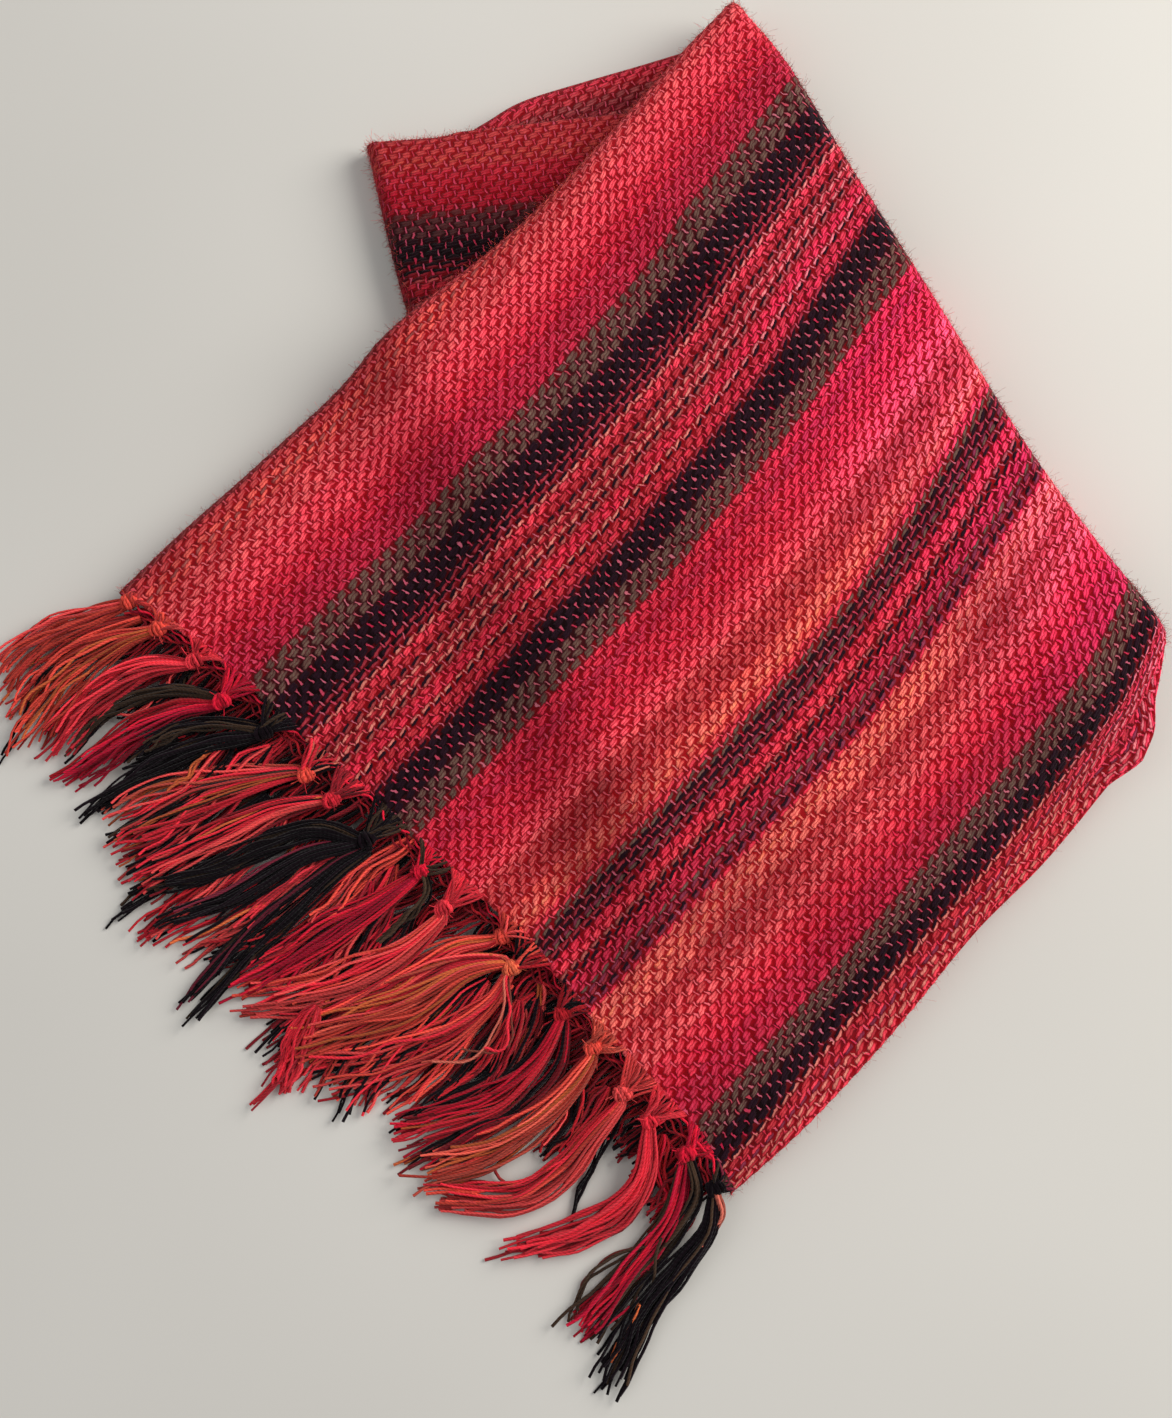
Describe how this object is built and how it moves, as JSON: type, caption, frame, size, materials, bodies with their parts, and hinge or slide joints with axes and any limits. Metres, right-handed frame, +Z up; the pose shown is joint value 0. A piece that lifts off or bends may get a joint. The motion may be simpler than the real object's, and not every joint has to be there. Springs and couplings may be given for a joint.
{
  "type": "wool scarf",
  "caption": "Hand-woven striped wool scarf folded into a flat stack, its knotted fringe at one end and its far end turned under.",
  "frame": {"origin": "centre of the scarf's outline on the surface it lies on", "axes": "+Z up from that surface, +Y along the stripes from the fringe to the cross fold, +X across them from the lengthwise fold to the selvedges"},
  "size_m": [0.3898, 0.4097, 0.031],
  "materials": {
    "striped_wool": "plain-woven wool in warp stripes of red, orange, olive and black",
    "crimson_wool": "plain-woven wool",
    "rust_wool": "plain-woven wool",
    "black_yarn": "loose plied wool yarn",
    "coral_yarn": "loose plied wool yarn",
    "crimson_yarn": "loose plied wool yarn",
    "maroon_yarn": "loose plied wool yarn",
    "orange_yarn": "loose plied wool yarn",
    "red_yarn": "loose plied wool yarn"
  },
  "bodies": {
    "root": {"front_leaf": "striped_wool", "inner_leaves": "crimson_wool", "turned_under": "rust_wool", "flap_leaf": "crimson_wool", "tassel_01": "orange_yarn", "tassel_02": "orange_yarn", "tassel_03": "red_yarn", "tassel_04": "crimson_yarn", "tassel_05": "black_yarn", "tassel_06": "red_yarn", "tassel_07": "maroon_yarn", "tassel_08": "black_yarn", "tassel_09": "crimson_yarn", "tassel_10": "red_yarn", "tassel_11": "orange_yarn", "tassel_12": "coral_yarn", "tassel_13": "maroon_yarn", "tassel_14": "orange_yarn", "tassel_15": "coral_yarn", "tassel_16": "red_yarn", "tassel_17": "crimson_yarn", "tassel_18": "black_yarn", "under_tassel_01": "black_yarn", "under_tassel_02": "red_yarn", "under_tassel_03": "black_yarn", "under_tassel_04": "red_yarn", "under_tassel_05": "coral_yarn", "under_tassel_06": "black_yarn", "under_tassel_07": "crimson_yarn", "under_tassel_08": "red_yarn", "under_tassel_09": "orange_yarn", "under_tassel_10": "maroon_yarn", "under_tassel_11": "coral_yarn", "under_tassel_12": "black_yarn"}
  },
  "joints": []
}
